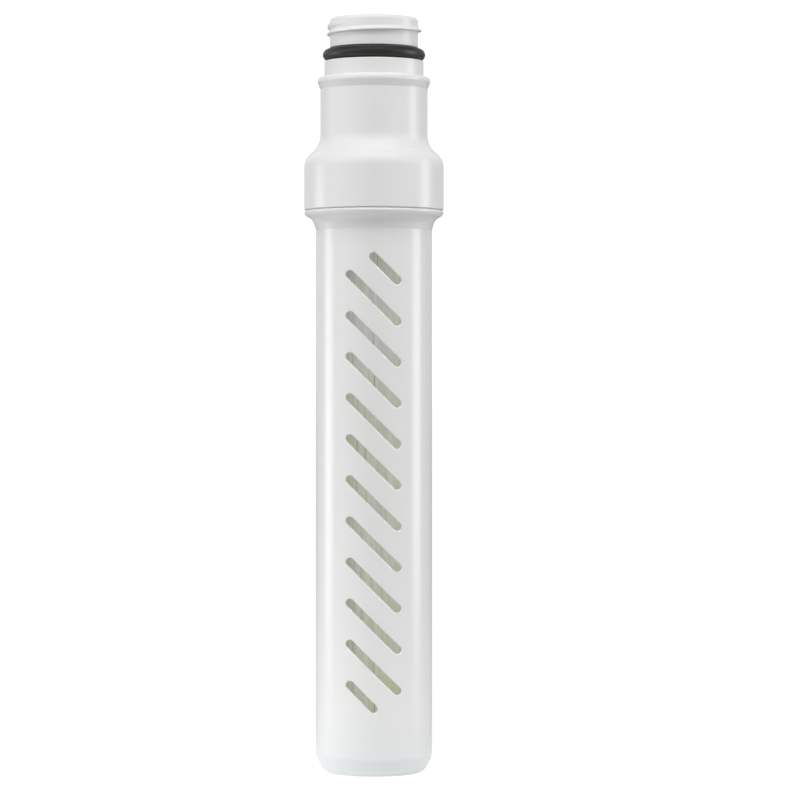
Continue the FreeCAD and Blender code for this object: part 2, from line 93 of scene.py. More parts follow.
def outline(corners, closed=False):
    """Points and outward normals along (radius, height, rounding, arc) corners, the material on the left.

    The arc (radius, side) leads to its corner, side 1 turning left. The rounding softens the corner itself.
    """
    corners = [tuple(c) + (0, None)[len(c) - 2:] for c in corners]
    legs = []
    for i in range(0 if closed else 1, len(corners)):
        start, end, arc = corners[i - 1][:2], corners[i][:2], corners[i][3]
        legs.append((start, end, arc, *tangent(start, end, arc), i))
    trims = {}
    for i, leg in enumerate(legs):
        if i == len(legs) - 1 and not closed:
            continue
        following = legs[(i + 1) % len(legs)]
        bend = (following[3] - leg[4] + math.pi) % TURN - math.pi
        rounding = corners[leg[5]][2]
        trims[leg[5]] = (rounding * math.tan(abs(bend) / 2), bend, rounding, leg[4])
    points, normals = [], []

    def add(point, heading):
        points.append(point)
        normals.append((math.sin(heading), -math.cos(heading)))

    for start, end, arc, leaves, reaches, i in legs:
        before = trims.get((i - 1) % len(corners), (0, 0, 0, 0))[0]
        after, bend, rounding, heading = trims.get(i, (0, 0, 0, 0))
        if arc is None:
            length = math.dist(start, end)
            for along in (before, length - after):
                share = along / length
                add([start[n] + (end[n] - start[n]) * share for n in range(2)], leaves)
        else:
            radius, side = arc
            reach = radius * side
            centre = (start[0] - math.sin(leaves) * reach, start[1] + math.cos(leaves) * reach)
            first, last = leaves + before / radius * side, reaches - after / radius * side
            steps = max(1, round(abs(last - first) / ARC_STEP))
            for step in range(steps + 1):
                angle = first + (last - first) * step / steps
                add((centre[0] + math.sin(angle) * reach, centre[1] - math.cos(angle) * reach), angle)
        if rounding and abs(bend) > STRAIGHT:
            reach = math.copysign(rounding, bend)
            foot = (end[0] - math.cos(heading) * after, end[1] - math.sin(heading) * after)
            centre = (foot[0] - math.sin(heading) * reach, foot[1] + math.cos(heading) * reach)
            steps = max(1, round(abs(bend) / FILLET_STEP))
            for step in range(1, steps):
                angle = heading + bend * step / steps
                add((centre[0] + math.sin(angle) * reach, centre[1] - math.cos(angle) * reach), angle)
    if closed:
        points.append(points[0])
        normals.append(normals[0])
    return np.array(points), np.array(normals)


def lathe(profile, columns):
    """Turns an outline about the axis into (points, normals, faces)."""
    points, normals = profile
    angles = np.arange(columns) * TURN / columns
    across, along = np.cos(angles), np.sin(angles)

    def turned(flat):
        return np.stack([np.outer(flat[:, 0], across), np.outer(flat[:, 0], along),
                         np.repeat(flat[:, 1:2], columns, 1)], 2).reshape(-1, 3)

    rows = len(points)
    i, j = np.meshgrid(np.arange(rows - 1), np.arange(columns), indexing="ij")
    k = (j + 1) % columns
    low, high = i * columns, (i + 1) * columns
    faces = np.stack([low + j, low + k, high + k, high + j], 2)
    return turned(points), turned(normals), faces.reshape(-1, 4).tolist()


def weld(name, parts):
    """Joins surfaces, each (points, normals, faces), where their points meet, into one object.

    Faces that lie backwards to their normals are turned, and the normals shade the finished mesh.
    """
    starts = np.cumsum([0] + [len(p[0]) for p in parts])
    points = np.concatenate([p[0] for p in parts])
    normals = np.concatenate([p[1] for p in parts])
    meeting = np.round(points, decimals=4) + 0.0
    _, first, place = np.unique(meeting, axis=0, return_index=True, return_inverse=True)
    place = place.ravel()
    points, normals = points[first], normals[first]
    faces = []
    for start, part in zip(starts, parts):
        for face in part[2]:
            ring = [place[start + v] for v in face]
            ring = [v for n, v in enumerate(ring) if v != ring[n - 1]]
            if len(ring) > 2 and len(set(ring)) == len(ring):
                faces.append([int(v) for v in ring])
    corners = np.array([[face[0], face[1], face[2], face[-1]] for face in faces])
    a, b, c, d = (points[corners[:, n]] for n in range(4))
    facing = np.cross(c - a, d - b)
    triangle = corners[:, 2] == corners[:, 3]
    facing[triangle] = np.cross((b - a)[triangle], (c - a)[triangle])
    backwards = (facing * normals[corners].sum(1)).sum(1) < 0
    faces = [face[::-1] if turned else face for face, turned in zip(faces, backwards)]
    mesh = bpy.data.meshes.new(name)
    mesh.from_pydata((points * MM).tolist(), [], faces)
    mesh.polygons.foreach_set("use_smooth", [True] * len(faces))
    mesh.normals_split_custom_set_from_vertices(normals / np.linalg.norm(normals, axis=1)[:, None])
    piece = bpy.data.objects.new(name, mesh)
    bpy.context.scene.collection.objects.link(piece)
    return piece


head_profile = outline([
    (SPOUT_RADIUS, THREAD_HEAD),
    (SPOUT_RADIUS, SPOUT_TOP - RIM_ROUND),
    (SPOUT_RADIUS - RIM_ROUND, SPOUT_TOP, 0, (RIM_ROUND, 1)),
    (SPOUT_BORE + MOUTH_BEVEL, SPOUT_TOP, CRISP),
    (SPOUT_BORE, SPOUT_TOP - MOUTH_BEVEL, CRISP),
    (SPOUT_BORE, SPOUT_BORE_FOOT, SOFT),
    (LIP_BORE, LIP_BORE_HEAD, SOFT),
    (LIP_BORE, LIP_BORE_FOOT, SOFT),
    (NECK_BORE, NECK_BORE_HEAD, SOFT),
    (NECK_BORE, NECK_BORE_FOOT, SOFT),
    (CHAMBER_BORE, CHAMBER_HEAD, SOFT),
    (CHAMBER_BORE, SOCKET_HEAD, SNUG),
    (SOCKET_BORE, SOCKET_HEAD, SOFT),
    (SOCKET_BORE, SEAM, SNUG),
    (COLLAR_RADIUS, SEAM, COLLAR_EDGE),
    (COLLAR_RADIUS, COLLAR_TOP),
    (SHOULDER_RADIUS, SHOULDER_TOP, SHOULDER_BLEND, (SHOULDER_ARC, 1)),
    (NECK_RADIUS, NECK_FOOT, 0, (NECK_ARC, -1)),
    (NECK_RADIUS, NECK_TOP, UNDER_LIP),
    (LIP_RADIUS, NECK_TOP + LIP_FLARE, LIP_CORNER),
    (LIP_RADIUS, LIP_TOP - LIP_ROUND),
    (LIP_RADIUS - LIP_ROUND, LIP_TOP, 0, (LIP_ROUND, 1)),
    (BAND_RADIUS + BAND_COVE, LIP_TOP),
    (BAND_RADIUS, LIP_TOP + BAND_COVE, 0, (BAND_COVE, -1)),
    (BAND_RADIUS, GROOVE_FOOT, SOFT),
    (GROOVE_RADIUS, GROOVE_FOOT, SOFT),
    (GROOVE_RADIUS, GROOVE_TOP, SOFT),
    (SPOUT_RADIUS, GROOVE_TOP, GROOVE_EDGE),
    (SPOUT_RADIUS, THREAD_FOOT),
])

# The thread is one ridge of about a turn and a half that rises out of the spout and sinks back into it.
# Toward its end it climbs a little faster and grows wider. Its lead-in, run-out and spread are in turns
HEAD_COLUMNS = 192
PITCH = 1.8
START_TURN = 0.25
CREST_START = 173.646
CREST_RADIUS, RIDGE_HEIGHT = 11.24, 1.07
HALF_CREST, LOWER_FLANK, UPPER_FLANK = 0.11, 0.3, 0.85
LEAD_IN = 0.29
RUN_OUT_START, RUN_OUT = 1.19, 0.25
SPREAD_START, SPREAD_TURNS = 0.95, 0.3
END_CLIMB, END_WIDER, END_SLOPE = 0.18, 0.28, 0.6
CREST_SOFT, ROOT_SOFT = 0.14, 0.16

# The mesh's rows about the crest of each lap are close where the ridge bends
LAPS = range(-4, 4)
ROWS = (-0.56, -0.47, -0.41, -0.37, -0.33, -0.28, -0.22, -0.17, -0.13, -0.09, -0.04, 0.02, 0.07, 0.12, 0.17,
        0.24, 0.34, 0.46, 0.58, 0.68, 0.76, 0.84, 0.93, 1.05)


def softer(first, second, reach, sign):
    """The larger (sign 1) or smaller (sign -1) of two, blended where they are within reach of each other."""
    overlap = np.maximum(reach - np.abs(first - second), 0) / reach
    picked = np.maximum(first, second) if sign > 0 else np.minimum(first, second)
    return picked + sign * overlap**2 * reach / 4


def spout_surface(turns, height):
    """The spout's outside radius, turns counted from the thread's start."""
    radius = np.full(np.shape(turns), SPOUT_RADIUS)
    for lap in (0, 1):
        along = turns % 1 + lap
        crest = CREST_RADIUS - RIDGE_HEIGHT * np.clip(1 - along / LEAD_IN, 0, 1)
        crest = crest - RIDGE_HEIGHT * np.clip((along - RUN_OUT_START) / RUN_OUT, 0, 1)
        spread = np.clip((along - SPREAD_START) / SPREAD_TURNS, 0, 1)
        half_crest = HALF_CREST + END_WIDER * spread
        offset = height - (CREST_START + PITCH * along + END_CLIMB * spread)
        below = CREST_RADIUS + RIDGE_HEIGHT * (offset + half_crest) / (LOWER_FLANK + END_SLOPE * spread)
        above = CREST_RADIUS - RIDGE_HEIGHT * (offset - half_crest) / UPPER_FLANK
        sunk = CREST_RADIUS - crest
        ridge = softer(softer(crest, below - sunk, CREST_SOFT, -1), above - sunk, CREST_SOFT, -1)
        radius = softer(radius, ridge, ROOT_SOFT, 1)
    return radius


def threaded_zone():
    """The spout's outside as a grid whose rows climb with the thread."""
    starts = np.array(sorted(CREST_START + lap * PITCH + row for lap in LAPS for row in ROWS))
    turns, foot = np.meshgrid(np.arange(HEAD_COLUMNS + 1) / HEAD_COLUMNS, starts)
    height = np.clip(foot + turns * PITCH, THREAD_FOOT, THREAD_HEAD)
    radius = spout_surface(turns, height)
    small = 1e-4
    around = spout_surface(turns + small, height) - spout_surface(turns - small, height)
    around = around / (2 * small * TURN * radius)
    upward = spout_surface(turns, height + small) - spout_surface(turns, height - small)
    upward = upward / (2 * small)
    angle = TURN * (turns + START_TURN)
    across, along = np.cos(angle), np.sin(angle)
    points = np.stack([radius * across, radius * along, height], 2)
    normals = np.stack([across + around * along, along - around * across, -upward], 2)
    columns = HEAD_COLUMNS + 1
    i, j = np.meshgrid(np.arange(len(starts) - 1), np.arange(HEAD_COLUMNS), indexing="ij")
    low = i * columns + j
    faces = np.stack([low, low + 1, low + columns + 1, low + columns], 2).reshape(-1, 4)
    return points.reshape(-1, 3), normals.reshape(-1, 3), faces.tolist()


head = weld("head_moulding", [lathe(head_profile, HEAD_COLUMNS), threaded_zone()])


class Wire:
    """A node's output. Arithmetic on wires adds Math nodes, and node() adds any other."""

    def __init__(self, tree, socket=None):
        self.tree = tree
        self.socket = socket

    def node(self, kind, settings=None, inputs=None, out=0):
        made = self.tree.nodes.new(kind)
        for key, value in (settings or {}).items():
            setattr(made, key, value)
        for key, value in (inputs or {}).items():
            by_name = {socket.identifier: socket for socket in made.inputs}
            socket = made.inputs[key] if isinstance(key, int) or key not in by_name else by_name[key]
            if isinstance(value, Wire):
                self.tree.links.new(value.socket, socket)
            else:
                socket.default_value = value
        outputs = {socket.identifier: socket for socket in made.outputs}
        return Wire(self.tree, outputs[out] if out in outputs else made.outputs[out])

    def math(self, operation, *values):
        return self.node("ShaderNodeMath", {"operation": operation}, dict(enumerate(values)))

    def __add__(self, other):
        return self.math("ADD", self, other)

    def __radd__(self, other):
        return self.math("ADD", other, self)

    def __sub__(self, other):
        return self.math("SUBTRACT", self, other)

    def __rsub__(self, other):
        return self.math("SUBTRACT", other, self)

    def __mul__(self, other):
        return self.math("MULTIPLY", self, other)

    def __rmul__(self, other):
        return self.math("MULTIPLY", other, self)

    def clamped(self, low, high):
        """0 at low, 1 at high, and straight between them."""
        return self.node("ShaderNodeMapRange", {"clamp": True},
                         {"Value": self, "From Min": low, "From Max": high})

    def mix(self, first, second):
        """A colour between two, by this wire."""
        return self.node("ShaderNodeMix", {"data_type": "RGBA"},
                         {"Factor_Float": self, "A_Color": first, "B_Color": second}, "Result_Color")


class Finish(Wire):
    """A material with one Principled shader, and the wires that its patterns start from."""

    def __init__(self, name):
        self.material = bpy.data.materials.new(name)
        self.material.use_nodes = True
        super().__init__(self.material.node_tree)
        self.shader = self.tree.nodes["Principled BSDF"]
        self.place = self.node("ShaderNodeTexCoord", out="Object")
        split = self.node("ShaderNodeSeparateXYZ", inputs={0: self.place})
        self.x, self.y, self.z = (Wire(self.tree, split.socket.node.outputs[n]) for n in range(3))

    def noise(self, scale, detail=2.0, stretch=(1, 1, 1)):
        """Noise, its scale in features a metre."""
        spread = self.node("ShaderNodeMapping", {}, {"Vector": self.place, "Scale": stretch})
        return self.node("ShaderNodeTexNoise", {}, {"Vector": spread, "Scale": scale, "Detail": detail})

    def bump(self, height, distance, strength):
        return self.node("ShaderNodeBump", {}, {"Height": height, "Distance": distance, "Strength": strength})

    def set(self, **values):
        """Gives the shader's sockets their values or wires, each by its name with _ for a space."""
        for key, value in values.items():
            socket = self.shader.inputs[key.replace("_", " ")]
            if isinstance(value, Wire):
                self.tree.links.new(value.socket, socket)
            else:
                socket.default_value = value


def grey(value, warmth=0.0):
    """A near-white colour, warmer or, below nought, cooler."""
    return (value * (1 + warmth), value, value * (1 - warmth), 1)


def scaled(colour, share):
    """A colour made darker, or with a share over 1 lighter."""
    return tuple(channel * share for channel in colour[:3]) + (1,)


MOULDED_WHITE = grey(0.80, 0.004)
POLISH = (0.24, 0.262)
CLOUDING = 0.992


def moulded_white(name, colour, polish):
    """White plastic with faint clouding, its roughness between the two values of its polish."""
    finish = Finish(name)
    skin = finish.noise(scale=380)
    cloud = finish.noise(scale=60)
    finish.colour = cloud.mix(scaled(colour, CLOUDING), colour)
    finish.set(
        Base_Color=finish.colour,
        Roughness=polish[0] + (polish[1] - polish[0]) * skin,
        IOR=1.5,
    )
    return finish


head_finish = moulded_white("head_white", MOULDED_WHITE, POLISH)
head.data.materials.append(head_finish.material)
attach(head, "root")
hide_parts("head")


# Outer sealing ring
# A moulded black rubber O-ring stretched into the groove under the spout. The two halves of its mould leave
# a hair-thin line of flash round the inside and the outside.
FLASH_WIDTH, FLASH_REACH = 0.07, 0.04
UNDERSIZE = 0.02
SECTION_STEPS = 64
OUTER_RING = (10.67, 169.31, 1.43)
OUTER_BLACK, OUTER_SHEEN = (0.0135, 0.014, 0.012, 1), (0.36, 0.46)
BLOOM = 1.35


def seal_ring(name, centre_radius, centre_height, section, colour, sheen):
    """A ring of that section radius, moulded a hair undersize."""
    angles = np.linspace(0, TURN, SECTION_STEPS + 1)
    from_line = np.abs(np.sin(angles)) * section
    reach = section + FLASH_REACH * np.clip(1 - from_line / FLASH_WIDTH, 0, 1) - UNDERSIZE
    points = np.stack([centre_radius + reach * np.cos(angles), centre_height + reach * np.sin(angles)], 1)
    normals = np.stack([np.cos(angles), np.sin(angles)], 1)
    ring = weld(name, [lathe((points, normals), HEAD_COLUMNS)])
    finish = Finish(name + "_rubber")
    grain = finish.noise(scale=2600, detail=3)
    dusty = finish.noise(scale=260, detail=3).clamped(0.45, 0.75)
    finish.set(
        Base_Color=dusty.mix(colour, scaled(colour, BLOOM)),
        Roughness=sheen[0] + (sheen[1] - sheen[0]) * grain.clamped(0.3, 0.7),
        Normal=finish.bump(grain, distance=0.00002, strength=0.5),
    )
    ring.data.materials.append(finish.material)
    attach(ring, "root")
    return ring


outer_ring = seal_ring("outer_seal", *OUTER_RING, OUTER_BLACK, OUTER_SHEEN)
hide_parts("outer_seal_ring")


# Slotted housing
# One injection moulding in the same white plastic: closed end, long tube with a column of slots in front and
# behind, ogee flange and weld spigot. The closed end has painted shade that makes it a little cooler and
# darker than the rest.
TUBE_RADIUS, TUBE_BORE = 13.7, 12.1
TUBE_COLUMNS = 144

# The closed end: a flat, a rounding and a slight taper up to the tube
END_THICKNESS, END_INSIDE_ROUND = 2.0, 2.6
END_FLAT, END_ROUND = 9.85, 3.0
END_TAPER = (12.532, 1.657)
TAPER_TOP = 3.989

# The head of the tube: a flare, the ogee flange with its lip, a shallow groove for the weld, and the spigot.
# The cove and the flange's rounding meet in the ogee
FLARE_FOOT, FLARE_ANGLE = 127.9, math.radians(14)
FLARE_COSINE, FLARE_SINE = math.cos(FLARE_ANGLE), math.sin(FLARE_ANGLE)
COVE_FOOT, COVE_RADIUS, COVE_ARC = 128.55, 13.95, 2.7
FLANGE_RADIUS, FLANGE_ARC, FLANGE_DROP = 16.401, 1.43, 0.72
FLANGE_LIP_RADIUS, FLANGE_LIP_ARC = 16.168, 0.5
WELD_GROOVE_RADIUS, WELD_GROOVE_DEPTH = 15.9, 0.158
SPIGOT_RADIUS, SPIGOT_TOP, SPIGOT_BEVEL = 14.4, 135.695, 0.5
OGEE_WIDTH = 2.5
OGEE_COSINE = 1 - OGEE_WIDTH / (COVE_ARC + FLANGE_ARC)
OGEE_SINE = math.sqrt(1 - OGEE_COSINE**2)

# The slotted stretch of the wall, by its height and the mesh columns to each side of the slots' middle
ZONE_FOOT, ZONE_HEAD = 8.0, 127.0
ZONE_HALF = 14
ZONE_ROW, ZONE_BORE_ROW = 1.75, 3.5
CLEAR_OF_EDGE, ON_EDGE = 0.3, 0.008
SLOT_COUNT = 12
TOP_SLOT, BOTTOM_SLOT = 121.2, 16.1
SLOT_LENGTH, SLOT_SLANT = 15.44, math.radians(45)
SLOT_REACH = SLOT_LENGTH / 2 * math.cos(SLOT_SLANT)
SLOT_HALF_WIDTH = 0.96
OUTER_EDGE, INNER_EDGE = 0.34, 0.15
END_STEPS, SIDE_STEPS, EDGE_STEPS = 12, 12, 6

tube_head = outline([
    (TUBE_RADIUS, ZONE_HEAD),
    (TUBE_RADIUS, FLARE_FOOT, CRISP),
    (COVE_RADIUS + COVE_ARC * (1 - FLARE_COSINE), COVE_FOOT + COVE_ARC * FLARE_SINE),
    (COVE_RADIUS + COVE_ARC * (1 - OGEE_COSINE), COVE_FOOT + COVE_ARC * OGEE_SINE, 0, (COVE_ARC, -1)),
    (FLANGE_RADIUS, SEAM - FLANGE_DROP, 0, (FLANGE_ARC, 1)),
    (FLANGE_LIP_RADIUS, SEAM - WELD_GROOVE_DEPTH, 0, (FLANGE_LIP_ARC, 1)),
    (WELD_GROOVE_RADIUS, SEAM - WELD_GROOVE_DEPTH, HAIR),
    (WELD_GROOVE_RADIUS, SEAM, HAIR),
    (SPIGOT_RADIUS, SEAM, SNUG),
    (SPIGOT_RADIUS, SPIGOT_TOP - SPIGOT_BEVEL, CRISP),
    (SPIGOT_RADIUS - SPIGOT_BEVEL, SPIGOT_TOP, CRISP),
    (TUBE_BORE, SPIGOT_TOP, SOFT),
    (TUBE_BORE, ZONE_HEAD),
])
tube_foot_inside = outline([
    (TUBE_BORE, ZONE_FOOT),
    (TUBE_BORE, END_THICKNESS + END_INSIDE_ROUND),
    (TUBE_BORE - END_INSIDE_ROUND, END_THICKNESS, 0, (END_INSIDE_ROUND, -1)),
    (0, END_THICKNESS),
])
tube_foot_outside = outline([
    (0, 0),
    (END_FLAT, 0),
    (*END_TAPER, 0, (END_ROUND, 1)),
    (TUBE_RADIUS, TAPER_TOP, END_ROUND),
    (TUBE_RADIUS, ZONE_FOOT),
])

# Each slot runs between the centres of its two round ends. The first and the last are half slots
slot_pitch = (TOP_SLOT - BOTTOM_SLOT) / (SLOT_COUNT - 1)
slots = []
for number in range(SLOT_COUNT):
    middle = TOP_SLOT - slot_pitch * number
    first = (0.0, middle) if number == 0 else (-SLOT_REACH, middle + SLOT_REACH)
    last = (0.0, middle) if number == SLOT_COUNT - 1 else (SLOT_REACH, middle - SLOT_REACH)
    slots.append((first, last))


def slot_loop(first, last, grow):
    """A slot's outline, grown all round: points across and up, and the directions away from the slot."""
    heading = math.atan2(last[1] - first[1], last[0] - first[0])
    reach = SLOT_HALF_WIDTH + grow
    points, ways = [], []
    for centre, other, quarter in ((last, first, -math.pi / 2), (first, last, math.pi / 2)):
        for step in range(END_STEPS + 1):
            angle = heading + quarter + math.pi * step / END_STEPS
            way = (math.cos(angle), math.sin(angle))
            points.append((centre[0] + way[0] * reach, centre[1] + way[1] * reach))
            ways.append(way)
        corner = points[-1]
        for step in range(1, SIDE_STEPS):
            share = step / SIDE_STEPS
            points.append([corner[n] + (other[n] - centre[n]) * share for n in range(2)])
            ways.append(way)
    return np.array(points), np.array(ways)


def slot_wall(first, last):
    """The strip from the tube's outside, round the slot's edge and through the wall, to its bore."""
    rounds = np.linspace(0, math.pi / 2, EDGE_STEPS)
    rings, facings = [], []
    for radius, edge, side in ((TUBE_RADIUS, OUTER_EDGE, 1), (TUBE_BORE, INNER_EDGE, -1)):
        for turned in (rounds if side > 0 else rounds[::-1]):
            flat, ways = slot_loop(first, last, edge * (1 - math.sin(turned)))
            depth = edge * (1 - math.cos(turned)) * side
            surface = -np.sqrt(radius**2 - flat[:, 0]**2)
            rings.append(np.stack([flat[:, 0], surface + depth, flat[:, 1]], 1))
            outward = np.stack([flat[:, 0], surface, np.zeros(len(flat))], 1) / radius * side
            inward = np.stack([-ways[:, 0], np.zeros(len(flat)), -ways[:, 1]], 1)
            facings.append(math.cos(turned) * outward + math.sin(turned) * inward)
    count = len(rings[0])
    faces = []
    for ring in range(len(rings) - 1):
        low, high = ring * count, (ring + 1) * count
        for n in range(count):
            m = (n + 1) % count
            faces.append([low + n, low + m, high + m, high + n])
    return np.concatenate(rings), np.concatenate(facings), faces


def from_slot(across, height, first, last):
    """How far a point of the flat view is from a slot's middle line."""
    run, rise = last[0] - first[0], last[1] - first[1]
    share = ((across - first[0]) * run + (height - first[1]) * rise) / (run**2 + rise**2)
    share = min(max(share, 0), 1)
    return math.hypot(across - first[0] - share * run, height - first[1] - share * rise)


def slotted_wall(radius, edge, row_height, side):
    """A tube surface with the slots' edges as holes in it, as (points, normals, faces) of its front half.

    Its outer columns are a plain grid, and the columns with the slots are triangulated round them.
    """
    rows = np.linspace(ZONE_FOOT, ZONE_HEAD, round((ZONE_HEAD - ZONE_FOOT) / row_height) + 1)
    column_angle = TURN / TUBE_COLUMNS
    flat, edges = [], []
    margin = SLOT_HALF_WIDTH + edge
    for column in range(-ZONE_HALF, ZONE_HALF + 1):
        across = radius * math.sin(column * column_angle)
        for height in rows:
            at_rim = abs(column) == ZONE_HALF or height in (rows[0], rows[-1])
            nearest = min(from_slot(across, height, *slot) for slot in slots)
            if at_rim or nearest > margin + CLEAR_OF_EDGE:
                flat.append((column * column_angle * radius, height))
    for slot in slots:
        loop = slot_loop(*slot, edge)[0]
        start = len(flat)
        flat += [(radius * math.asin(x / radius), z) for x, z in loop]
        edges += [(start + n, start + (n + 1) % len(loop)) for n in range(len(loop))]
    tolerance = 1e-7
    found = delaunay_2d_cdt([Vector(point) for point in flat], edges, [], 0, tolerance, True)
    triangles, origins = found[2], found[3]
    faces = []
    for triangle in triangles:
        face = [origins[v][0] for v in triangle]
        across = radius * math.sin(sum(flat[v][0] for v in face) / 3 / radius)
        height = sum(flat[v][1] for v in face) / 3
        if min(from_slot(across, height, *slot) for slot in slots) > margin - ON_EDGE:
            faces.append(face)
    angles = [-math.pi / 2 + u / radius for u, _ in flat]
    heights = [z for _, z in flat]
    plain = TUBE_COLUMNS // 2 - 2 * ZONE_HALF
    start = len(angles)
    for column in range(plain + 1):
        angles += [-math.pi / 2 + (ZONE_HALF + column) * column_angle] * len(rows)
        heights += rows.tolist()
    for column in range(plain):
        for row in range(len(rows) - 1):
            low = start + column * len(rows) + row
            faces.append([low, low + len(rows), low + len(rows) + 1, low + 1])
    across, along = np.cos(angles), np.sin(angles)
    points = np.stack([radius * across, radius * along, heights], 1)
    return points, np.stack([across, along, np.zeros(len(across))], 1) * side, faces


def both_sides(surface):
    """A surface and the same surface half a turn round."""
    points, normals, faces = surface
    half_turn = np.array([-1, -1, 1])
    return [surface, (points * half_turn, normals * half_turn, faces)]


housing_profiles = (tube_head, tube_foot_inside, tube_foot_outside)
housing_surfaces = [lathe(profile, TUBE_COLUMNS) for profile in housing_profiles]
housing_surfaces += both_sides(slotted_wall(TUBE_RADIUS, OUTER_EDGE, ZONE_ROW, 1))
housing_surfaces += both_sides(slotted_wall(TUBE_BORE, INNER_EDGE, ZONE_BORE_ROW, -1))
for slot in slots:
    housing_surfaces += both_sides(slot_wall(*slot))
housing = weld("housing_moulding", housing_surfaces)

# Painted shade: the colour blends to a cooler, darker white over the lowest 16 mm, fully below 1 mm
COOL_PAINTED_SHADE = (0.715, 0.75, 0.752, 1)
housing_finish = moulded_white("housing_white", MOULDED_WHITE, POLISH)
closed_end_shade = 1 - housing_finish.z.clamped(0.001, 0.016)
housing_finish.set(Base_Color=closed_end_shade.mix(housing_finish.colour, COOL_PAINTED_SHADE))
housing.data.materials.append(housing_finish.material)
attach(housing, "root")
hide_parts("slotted_housing")


# Inner sealing ring
# A thinner black rubber O-ring. It sits in the groove of the potting sleeve's flange and seals the sleeve in
# the collar, so that no water goes round the fibres.
INNER_RING = (13.53, 138.945, 0.95)
INNER_BLACK, INNER_SHEEN = (0.02, 0.02, 0.02, 1), (0.5, 0.6)

inner_ring = seal_ring("inner_seal", *INNER_RING, INNER_BLACK, INNER_SHEEN)
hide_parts("inner_seal_ring")


# Potting sleeve
# A plain moulding in unpolished, off-white plastic. It hangs in the tube by its flange, which rests on the
# weld spigot, and the fibre ends are cast into it.
SLEEVE_RADIUS, SLEEVE_BORE = 11.95, 10.9
SLEEVE_TOP, SLEEVE_FOOT = 141.595, 124.695
RIM_RADIUS = 14.3
SEAL_GROOVE_RADIUS, SEAL_GROOVE_FOOT, SEAL_GROOVE_HEAD = 12.56, 137.895, 139.995
SLEEVE_COLUMNS = 96
OFF_WHITE, UNPOLISHED = grey(0.72, 0.02), (0.42, 0.52)

sleeve_profile = outline([
    (SLEEVE_RADIUS, SLEEVE_FOOT, SOFT),
    (SLEEVE_RADIUS, SPIGOT_TOP, CRISP),
    (RIM_RADIUS, SPIGOT_TOP, SNUG),
    (RIM_RADIUS, SEAL_GROOVE_FOOT, SNUG),
    (SEAL_GROOVE_RADIUS, SEAL_GROOVE_FOOT, SNUG),
    (SEAL_GROOVE_RADIUS, SEAL_GROOVE_HEAD, SNUG),
    (RIM_RADIUS, SEAL_GROOVE_HEAD, SNUG),
    (RIM_RADIUS, SLEEVE_TOP, SOFT),
    (SLEEVE_BORE, SLEEVE_TOP, HAIR),
    (SLEEVE_BORE, SLEEVE_FOOT, SNUG),
], closed=True)
sleeve = weld("sleeve_moulding", [lathe(sleeve_profile, SLEEVE_COLUMNS)])
sleeve_finish = moulded_white("sleeve_white", OFF_WHITE, UNPOLISHED)
sleeve.data.materials.append(sleeve_finish.material)
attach(sleeve, "root")
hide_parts("potting_sleeve")


# Potting resin
# Honey-coloured polyurethane, cast round the fibre ends in the sleeve and cut flush with its top by a blade.
# It wets the sleeve's wall, so its lower face reaches furthest down there.
RESIN_FOOT = 127.095
CUT_EDGE = 0.03
HONEY, PALE_HONEY = (0.62, 0.55, 0.38, 1), (0.72, 0.66, 0.50, 1)

# The lower face, from the middle to the wall: radius, rise over its foot, and rounding
LOWER_FACE = ((0, 0.5, 0), (8.0, 0.35, 4.0), (10.2, 0.12, 2.0), (SLEEVE_BORE, 0, HAIR))

resin_profile = outline([
    *[(radius, RESIN_FOOT + rise, rounding) for radius, rise, rounding in LOWER_FACE],
    (SLEEVE_BORE, SLEEVE_TOP, CUT_EDGE),
    (0, SLEEVE_TOP),
])
resin = weld("resin_cast", [lathe(resin_profile, SLEEVE_COLUMNS)])
resin_finish = Finish("resin_honey")
blade_marks = resin_finish.noise(scale=90, detail=4, stretch=(1, 6, 1))
blotch = resin_finish.noise(scale=160, detail=3).clamped(0.35, 0.65)
resin_finish.set(
    Base_Color=blotch.mix(HONEY, PALE_HONEY),
    Roughness=0.22 + 0.3 * blade_marks.clamped(0.4, 0.6),
    Normal=resin_finish.bump(blade_marks, distance=0.00008, strength=0.5),
)
resin.data.materials.append(resin_finish.material)
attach(resin, "root")
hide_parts("potting_resin")


# Hollow fibres
# A bundle of thin porous tubes. Each comes down from the resin, bends back above the closed end and goes up
# again. All hang free below the resin, so they wave a little and no two are quite alike.
ACROSS_COUNT, ALONG_COUNT = 16, 28
LOOP_POINTS = 52
BEND_SHARE = 0.12

# How far the waves of a loop run from its one end to the other, and their random starts, in radians
WAVE_ACROSS, WAVE_DEEP, WAVE_DEEP_MORE = 29.0, 23.0, 9.0
FULL_WAVE = 6.283

LEAN = 0.6
LUMEN_SHARE, LUMEN_LIFT = 0.62, 0.00001


